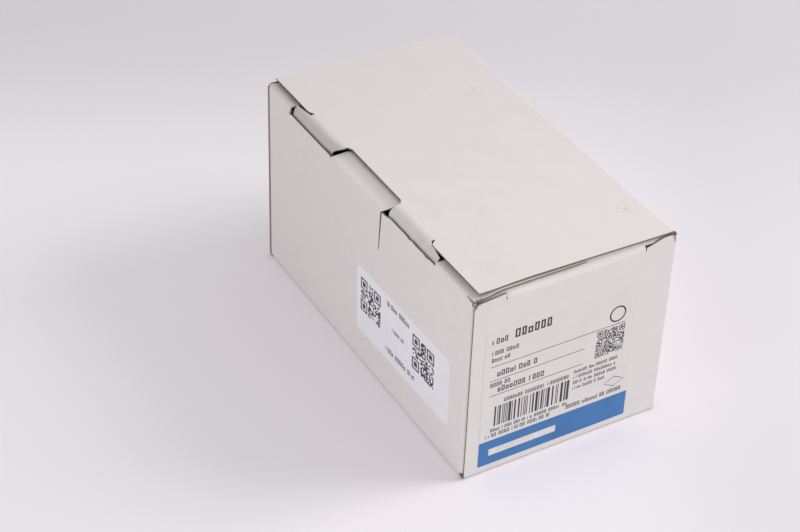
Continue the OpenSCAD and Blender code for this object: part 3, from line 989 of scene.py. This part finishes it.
def end_face(k, end):
    """End panel, shoulders, crown and tuck flap; end is 1 at the label and -1 at the far side."""
    face = BoardFace()
    foot = k.crease + k.strip
    middle = spread(-k.crown_y, k.crown_y)
    shoulder = spread(k.crown_y + k.tick, k.flap_y)
    ticked = [-y for y in reversed(shoulder)] + middle + shoulder
    panel = spread(foot, k.tick_z)
    face.grid([[(end * k.half_x, y, z) for y in ticked] for z in panel], (end, 0, 0))
    upper = spread(k.tick_z, k.panel_z, 0.9 * MM)
    face.grid([[(end * k.half_x, y, z) for y in middle] for z in upper], (end, 0, 0))
    round_off = k.tuck_top - k.panel_z
    for side in (1, -1):
        rows = [[(end * k.half_x, side * y, z) for y in shoulder] for z in upper]
        for i in range(1, 7):
            angle = math.pi / 2 * i / 6
            reach = k.flap_y - round_off * (1 - math.cos(angle))
            rows.append([(end * k.half_x, side * (shoulder[0] + (y - shoulder[0])
                          * (reach - shoulder[0]) / (k.flap_y - shoulder[0])),
                          k.panel_z + round_off * math.sin(angle)) for y in shoulder])
        face.grid(rows, (end, 0, 0))

    # Crown over the panel, then the tuck flap under the lid, with wings up to the shoulders
    section = fold_line((k.half_x, k.panel_z), math.pi / 2, k.crown_fold, 0.7 * MM)
    split = next(i for i, p in enumerate(section) if p.x <= k.wing_x)
    section[split].x = k.wing_x
    face.grid([[(end * x, y, z) for y in middle] for x, z in section[:split + 1]], (end, 0, 1))
    corner = 6 * MM
    rows = []
    for x, z in section[split:]:
        short = max(0.0, corner - (x - section[-1].x))
        half = k.tuck_y - corner + math.sqrt(max(0.0, corner ** 2 - short ** 2))
        wing = [k.crown_y + (half - k.crown_y) * i / 6 for i in range(1, 7)]
        rows.append([(end * x, y, z) for y in [-y for y in reversed(wing)] + middle + wing])
    face.grid(rows, (0, 0, 1))
    loosen_end(k, end, face)
    return face


def add_board(context, k, name, face, body=None, nodes=()):
    """Settles, marks and thickens a board face, and makes its piece."""
    face.settle()
    face.wear()
    face.thicken(k.board)
    return add_piece(context, name, face, board_materials(context), body, nodes)


class CARTON_OT_fold_body(Operator):
    """Fold the bottom, the walls, the dust flaps and the front top flap"""

    bl_idname = "carton.fold_body"
    bl_label = "Fold body"

    def execute(self, context):
        k = layout(context)
        add_board(context, k, "body_board", body_face(k), "carton", ("carton_body",))
        return {"FINISHED"}


class CARTON_OT_fold_lid(Operator):
    """Fold the lid and its lock tabs"""

    bl_idname = "carton.fold_lid"
    bl_label = "Fold lid"

    def execute(self, context):
        k = layout(context)
        add_board(context, k, "lid_board", lid_face(k), "lid", ("lid",))
        return {"FINISHED"}


class CARTON_OT_fold_ends(Operator):
    """Fold the two end panels with their tuck flaps"""

    bl_idname = "carton.fold_ends"
    bl_label = "Fold ends"

    def execute(self, context):
        k = layout(context)
        for end, body in ENDS:
            add_board(context, k, f"{body}_board", end_face(k, end), body, (f"{body}_flap",))
        return {"FINISHED"}


class CARTON_OT_crease_hinges(Operator):
    """Lay the creases that the lid and the end panels bend on"""

    bl_idname = "carton.crease_hinges"
    bl_label = "Crease hinges"

    def execute(self, context):
        k = layout(context)
        quarter = math.pi / 2
        face = BoardFace()
        low_z = k.hinge_z - k.strip
        wall = spread(-k.wall_x, k.wall_x)
        sides = spread(k.wall_x, k.end_x)[1:]
        line = [-x for x in reversed(sides)] + wall + sides
        rows = spread(low_z, k.hinge_z, k.strip / 2)
        face.grid([[(x, k.half_y, z) for x in wall] for z in rows], (0, 1, 0))
        path = ((0, k.crease, quarter), (k.strip_flat, 0, 0))
        bend = fold_line((k.half_y, k.hinge_z), quarter, path, k.strip_flat)
        face.grid([[sprung(k, (x, y, z), i / (len(bend) - 1)) for x in line]
                   for i, (y, z) in enumerate(bend)], (0, 1, 1))
        strip = add_board(context, k, "lid_crease", face)
        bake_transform(strip)

        path = ((k.strip_flat, k.crease, quarter), (k.strip, 0, 0))
        section = fold_line((k.foot_x, 0), 0, path, k.strip_flat)
        across = spread(-k.flap_y, k.flap_y)
        for end, body in ENDS:
            face = BoardFace()
            face.grid([[(end * x, y, z) for y in across] for x, z in section], (end, 0, -1))
            strip = add_board(context, k, f"{body}_crease", face)
            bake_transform(strip)
        return {"FINISHED"}


# Labels

# Thickness of a label's paper and of the print on it, and the way that each label faces
PAPER, INK = 0.075 * MM, 0.015 * MM
END_OUT, FRONT_OUT = (1, 0, 0), (0, -1, 0)
# Middle of the sticker, along the front wall and up from the table
STICKER_MIDDLE = (24.5 * MM, 24 * MM)
# Corner radii: the end label's at its foot and at its top, and the sticker's
LABEL_CORNERS, STICKER_CORNER = (0.3 * MM, 1.5 * MM), 2 * MM
# Cells across the square codes
LABEL_CELLS, STICKER_CELLS = 33, 21
# Print on the end label, in millimetres across from the front wall's face and up from the table
BAND_TOP = 11.9
BAND_MARK = (8.0, 30.5, 6.2, 8.6)
LABEL_RULES = ((6.8, 51.3, 38.8, 39.0), (6.8, 38.0, 33.7, 33.9), (7.0, 37.9, 28.3, 28.5))
# Lines of small print: start, end, foot and height
LABEL_LINES = (
    (6.7, 12.4, 46.9, 1.9), (14.0, 28.4, 46.9, 3.0), (6.9, 15.5, 43.0, 1.4),
    (6.9, 13.0, 40.6, 1.4), (9.0, 22.0, 35.0, 1.9), (7.0, 13.5, 31.6, 1.4),
    (9.5, 25.0, 29.3, 1.9), (11.9, 34.0, 24.9, 1.3), (35.2, 50.3, 25.8, 1.1),
    (35.2, 50.0, 23.8, 1.1), (35.2, 50.3, 21.8, 1.1), (35.2, 46.0, 19.8, 1.1),
    (6.5, 29.0, 13.0, 1.3), (33.5, 52.5, 13.3, 1.4), (8.0, 34.0, 14.9, 1.2),
)
LABEL_BARS, LABEL_CODE = (9.0, 33.9, 16.9, 24.1), (41.9, 51.4, 28.7, 38.2)
# Ring and diamond: middle, radii across and up, line, and number of sides
LABEL_RINGS = (((48.4, 42.5), (2.8, 2.8), 0.5, 32), ((49.7, 17.4), (3.5, 1.9), 0.25, 4))
# Print on the sticker, in millimetres from its middle
STICKER_CODES = ((-24.2, -12.4, -3.4, 8.4), (6.1, 18.1, -4.2, 8.0))
STICKER_LINES = ((-8.5, 4.6, 8.0, 1.7), (-5.5, 1.5, 0.4, 1.2), (-9.0, 8.0, -8.6, 1.7))


def mm(values):
    """Lengths in metres from millimetres."""
    return tuple(value * MM for value in values)


def sheet_rows(left, right, low, high, low_corner, high_corner, size=2 * MM):
    """Rows across a sheet with round corners: (left end, right end, height)."""
    rows = []
    for i in range(7 if low_corner else 0):
        angle = math.pi / 2 * i / 6
        inset = low_corner * (1 - math.sin(angle))
        rows.append((left + inset, right - inset, low + low_corner * (1 - math.cos(angle))))
    start, end = low + low_corner, high - high_corner
    rows += [(left, right, z) for z in spread(start, end, size)[1 if low_corner else 0:]]
    for i in range(1, 7 if high_corner else 0):
        angle = math.pi / 2 * i / 6
        inset = high_corner * (1 - math.cos(angle))
        rows.append((left + inset, right - inset, end + high_corner * math.sin(angle)))
    return rows


def sheet_grid(face, put, rows, outward, size=2 * MM):
    """A sheet's face from its rows, each place put on the panel."""
    count = max(1, round((rows[0][1] - rows[0][0]) / size))
    face.block([[put(left + (right - left) * i / count, height) for i in range(count + 1)]
                for left, right, height in rows], outward)


def block_print(face, put, outward, blocks):
    """Printed rectangles: (left, right, low, high) in the label's own plane."""
    for left, right, low, high in blocks:
        sheet_grid(face, put, [(left, right, z) for z in spread(low, high, 2 * MM)], outward)


def small_print(draw, start, end, low, height):
    """Plain boxes and stems in the rhythm of a line of small print, with no letters."""
    line, at, blocks = 0.18 * height, start, []
    while at < end - 0.4 * height:
        for _ in range(draw.randint(4, 8)):
            wide = height * draw.uniform(0.46, 0.6)
            if at + wide > end:
                break
            high = low + height * draw.choice((0.74, 1.0, 1.0, 1.0, 1.0))
            blocks.append((at, at + line, low, high))
            if draw.random() < 0.85:
                blocks.append((at + wide - line, at + wide, low, high))
                blocks += [(at + line, at + wide - line, z, z + line) for z in (low, high - line)]
            at += wide + 0.18 * height
        at += 0.5 * height
    return blocks


def bar_code(draw, start, end, low, high, modules=95):
    """Upright bars of chance widths."""
    step, at, blocks = (end - start) / modules, 0, []
    while at < modules:
        wide = min(draw.choice((1, 1, 1, 2, 2, 3)), modules - at)
        blocks.append((start + at * step, start + (at + wide) * step, low, high))
        at += wide + draw.choice((1, 1, 2, 2, 3))
    return blocks


def square_code(draw, left, right, low, high, modules):
    """Chance squares with the usual three corner marks."""
    step_x, step_z = (right - left) / modules, (high - low) / modules
    corners = ((0, 0), (0, modules - 7), (modules - 7, modules - 7))
    blocks = []
    for row in range(modules):
        run = 0
        for column in range(modules + 1):
            dark = column < modules and draw.random() < 0.5
            for c, r in corners:
                if c - 1 <= column <= c + 7 and r - 1 <= row <= r + 7 and column < modules:
                    ring = max(abs(column - c - 3), abs(row - r - 3))
                    dark = ring in (0, 1, 3)
            if dark:
                run += 1
            elif run:
                blocks.append((left + (column - run) * step_x, left + column * step_x,
                               low + row * step_z, low + (row + 1) * step_z))
                run = 0
    return blocks


def ring_print(face, put, outward, centre, radii, line, sides):
    """A printed ring, or a diamond where it has four sides; radii are across and up."""
    rows = []
    for i in range(sides + 1):
        angle = 2 * math.pi * i / sides
        rows.append([put(centre[0] + (radii[0] - inset) * math.cos(angle),
                         centre[1] + (radii[1] - inset) * math.sin(angle)) for inset in (line, 0)])
    face.block(rows, outward)


def on_end(k, lift):
    """Places on the label end's panel: across from the front wall's face, and height."""
    def put(across, height):
        place = Vector((k.half_x, across - k.half_y, height))
        return place + Vector((lift - sag_depth(place), 0, 0))
    return put


def on_front(k, s, lift):
    """Places on the tilted sticker, from its middle."""
    turn = s.sticker_tilt

    def put(across, height):
        x = STICKER_MIDDLE[0] + across * math.cos(turn) - height * math.sin(turn)
        z = STICKER_MIDDLE[1] + across * math.sin(turn) + height * math.cos(turn)
        place = Vector((x, -k.half_y, z))
        return place - Vector((0, lift - sag_depth(place), 0))
    return put


def add_paper(context, name, face, depth, material, body, nodes=()):
    """Thickens a sheet or its print, and makes its piece in one material."""
    face.thicken(depth)
    return add_piece(context, name, face, [material] * 3, body, nodes)


class CARTON_OT_stick_labels(Operator):
    """Cut the end label and the sticker and put them on"""

    bl_idname = "carton.stick_labels"
    bl_label = "Stick labels"

    def execute(self, context):
        k, s, colours = layout(context), context.scene.carton_sizes, context.scene.carton_colours
        left, right = LABEL_LOW.y + k.half_y, LABEL_HIGH.y + k.half_y
        face = BoardFace()
        sheet_grid(face, on_end(k, PAPER), sheet_rows(
            left, right, LABEL_LOW.z, LABEL_HIGH.z, *LABEL_CORNERS), END_OUT)
        paper = paper_material("label_paper", colours.label, colours, 0.5)
        add_paper(context, "end_label_paper", face, PAPER, paper,
                  "label_end", ("end_label",))

        face = BoardFace()
        wide, tall = s.sticker_width / 2, s.sticker_height / 2
        sheet_grid(face, on_front(k, s, PAPER), sheet_rows(
            -wide, wide, -tall, tall, STICKER_CORNER, STICKER_CORNER), FRONT_OUT)
        paper = paper_material("sticker_paper", colours.sticker, colours, 0.42)
        add_paper(context, "side_label_paper", face, PAPER, paper,
                  "carton", ("side_label",))
        return {"FINISHED"}


class CARTON_OT_print_labels(Operator):
    """Print the band, rules, codes and small blocks on both labels"""

    bl_idname = "carton.print_labels"
    bl_label = "Print labels"

    def execute(self, context):
        k, s, colours = layout(context), context.scene.carton_sizes, context.scene.carton_colours
        draw = random.Random(SEED)
        left, right = LABEL_LOW.y + k.half_y, LABEL_HIGH.y + k.half_y
        ink = ink_material("label_ink", colours.ink, colours.label, 0.3, 0.5)
        blue = ink_material("band_ink", colours.band, colours.label, 0.2, 0.42)
        white = ink_material("band_mark", colours.label, colours.band, 0.1, 0.5)

        face = BoardFace()
        sheet_grid(face, on_end(k, PAPER + INK / 2), sheet_rows(
            left, right, LABEL_LOW.z, BAND_TOP * MM, LABEL_CORNERS[0], 0), END_OUT)
        add_paper(context, "end_label_band", face, INK, blue, "label_end")

        face = BoardFace()
        block_print(face, on_end(k, PAPER + INK), END_OUT, [mm(BAND_MARK)])
        add_paper(context, "end_label_band_mark", face, INK, white, "label_end")

        face = BoardFace()
        put = on_end(k, PAPER + INK / 2)
        block_print(face, put, END_OUT, [mm(rule) for rule in LABEL_RULES])
        for line in LABEL_LINES:
            block_print(face, put, END_OUT, small_print(draw, *mm(line)))
        block_print(face, put, END_OUT, bar_code(draw, *mm(LABEL_BARS)))
        block_print(face, put, END_OUT, square_code(draw, *mm(LABEL_CODE), LABEL_CELLS))
        for centre, radii, line, sides in LABEL_RINGS:
            ring_print(face, put, END_OUT, mm(centre), mm(radii), line * MM, sides)
        add_paper(context, "end_label_print", face, INK, ink, "label_end")

        face = BoardFace()
        put = on_front(k, s, PAPER + INK / 2)
        for box in STICKER_CODES:
            block_print(face, put, FRONT_OUT, square_code(draw, *mm(box), STICKER_CELLS))
        for line in STICKER_LINES:
            block_print(face, put, FRONT_OUT, small_print(draw, *mm(line)))
        ink = ink_material("sticker_ink", colours.ink, colours.sticker, 0.4, 0.5)
        add_paper(context, "side_label_print", face, INK, ink, "carton")
        return {"FINISHED"}


# Stage

# Camera fitted to the photograph: its place, its axes and its focal length on a 36 mm frame
CAMERA_PLACE = (0.40210, -0.26143, 0.38399)
CAMERA_RIGHT = (0.495774, 0.867951, 0.029476)
CAMERA_UP = (-0.534152, 0.277995, 0.798374)
CAMERA_BACK = (0.684755, -0.411558, 0.601440)
CAMERA_FRAME, CAMERA_LENS = 36.0, 89.02
# Soft lights: name, place, size and power
LIGHTS = (("key_light", (0.32, 0.80, 0.62), 0.6, 5.5), ("fill_light", (0.3, -1.2, 0.5), 0.9, 2.0))
SKY_COLOUR, SKY_STRENGTH = (0.98, 0.97, 1.0, 1), 0.675
# Floor: headings away from the photograph's view and to its right, then how bright its colour is on
# the left and on the right, near and far; painted light and shade, brighter near on the left,
# darker far off
FLOOR_HEADINGS = ((-0.857, 0.515, 0), (0.515, 0.857, 0))
FLOOR_NEAR, FLOOR_FAR = (1.09, 0.94), (0.82, 0.80)


class CARTON_OT_set_stage(Operator):
    """Lay the pale floor, hang the soft lights and place the camera"""

    bl_idname = "carton.set_stage"
    bl_label = "Set stage"

    def execute(self, context):
        scene, colours = context.scene, context.scene.carton_colours
        bm = bmesh.new()
        bmesh.ops.create_grid(bm, x_segments=24, y_segments=24, size=3.0)
        mesh = bpy.data.meshes.new("floor")
        bm.to_mesh(mesh)
        bm.free()
        material, w, shader, place = start_material("floor_paper", 0.75)
        reach = []
        for heading in FLOOR_HEADINGS:
            along = w.add("ShaderNodeVectorMath", operation="DOT_PRODUCT")
            w.feed(along.inputs[0], place)
            along.inputs[1].default_value = heading
            reach.append(along.outputs["Value"])
        # Painted light and shade: the floor is brighter near on the left and darker to the right
        # and far off
        near, far = (w.mix(w.ramp(reach[1], 0.03, 0.10), *(tint(colours.floor, t) for t in tones))
                     for tones in (FLOOR_NEAR, FLOOR_FAR))
        w.feed(shader["Base Color"], w.mix(w.ramp(reach[0], 0.03, 0.19), near, far))
        mesh.materials.append(material)
        floor = bpy.data.objects.new("floor", mesh)
        scene.collection.objects.link(floor)

        world = bpy.data.worlds.new("studio")
        world.use_nodes = True
        sky = world.node_tree.nodes["Background"].inputs
        sky["Color"].default_value = SKY_COLOUR
        sky["Strength"].default_value = SKY_STRENGTH
        scene.world = world
        for name, place, size, power in LIGHTS:
            lamp = bpy.data.lights.new(name, "AREA")
            lamp.shape, lamp.size, lamp.energy = "DISK", size, power
            holder = bpy.data.objects.new(name, lamp)
            holder.location = place
            holder.rotation_euler = (-Vector(place)).to_track_quat("-Z", "Y").to_euler()
            scene.collection.objects.link(holder)

        lens = bpy.data.cameras.new("camera")
        lens.sensor_width, lens.lens = CAMERA_FRAME, CAMERA_LENS
        lens.clip_start, lens.clip_end = 0.01, 20.0
        camera = bpy.data.objects.new("camera", lens)
        turn = Matrix((CAMERA_RIGHT, CAMERA_UP, CAMERA_BACK)).transposed().to_4x4()
        camera.matrix_world = Matrix.Translation(CAMERA_PLACE) @ turn
        scene.collection.objects.link(camera)
        scene.camera = camera
        scene.view_settings.view_transform = "Standard"
        return {"FINISHED"}


OPERATORS = (CARTON_OT_fold_body, CARTON_OT_fold_lid, CARTON_OT_fold_ends, CARTON_OT_crease_hinges,
             CARTON_OT_stick_labels, CARTON_OT_print_labels, CARTON_OT_set_stage)


class CARTON_PT_sidebar(Panel):
    """Sizes, colours and steps of the carton"""

    bl_idname = "CARTON_PT_sidebar"
    bl_label = "Carton"
    bl_space_type = "VIEW_3D"
    bl_region_type = "UI"
    bl_category = "Carton"

    def draw(self, context):
        for group in (context.scene.carton_sizes, context.scene.carton_colours):
            box = self.layout.box()
            for name in group.__annotations__:
                box.prop(group, name)
        for step in OPERATORS:
            self.layout.operator(step.bl_idname)


CLASSES = (CartonSizes, CartonColours, *OPERATORS, CARTON_PT_sidebar)


def register():
    for kind in CLASSES:
        bpy.utils.register_class(kind)
    bpy.types.Scene.carton_sizes = PointerProperty(type=CartonSizes)
    bpy.types.Scene.carton_colours = PointerProperty(type=CartonColours)


def unregister():
    del bpy.types.Scene.carton_colours
    del bpy.types.Scene.carton_sizes
    for kind in reversed(CLASSES):
        bpy.utils.unregister_class(kind)


def main():
    register()
    for step in OPERATORS:
        group, name = step.bl_idname.split(".")
        getattr(getattr(bpy.ops, group), name)()
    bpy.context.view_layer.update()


if __name__ == "__main__":
    main()
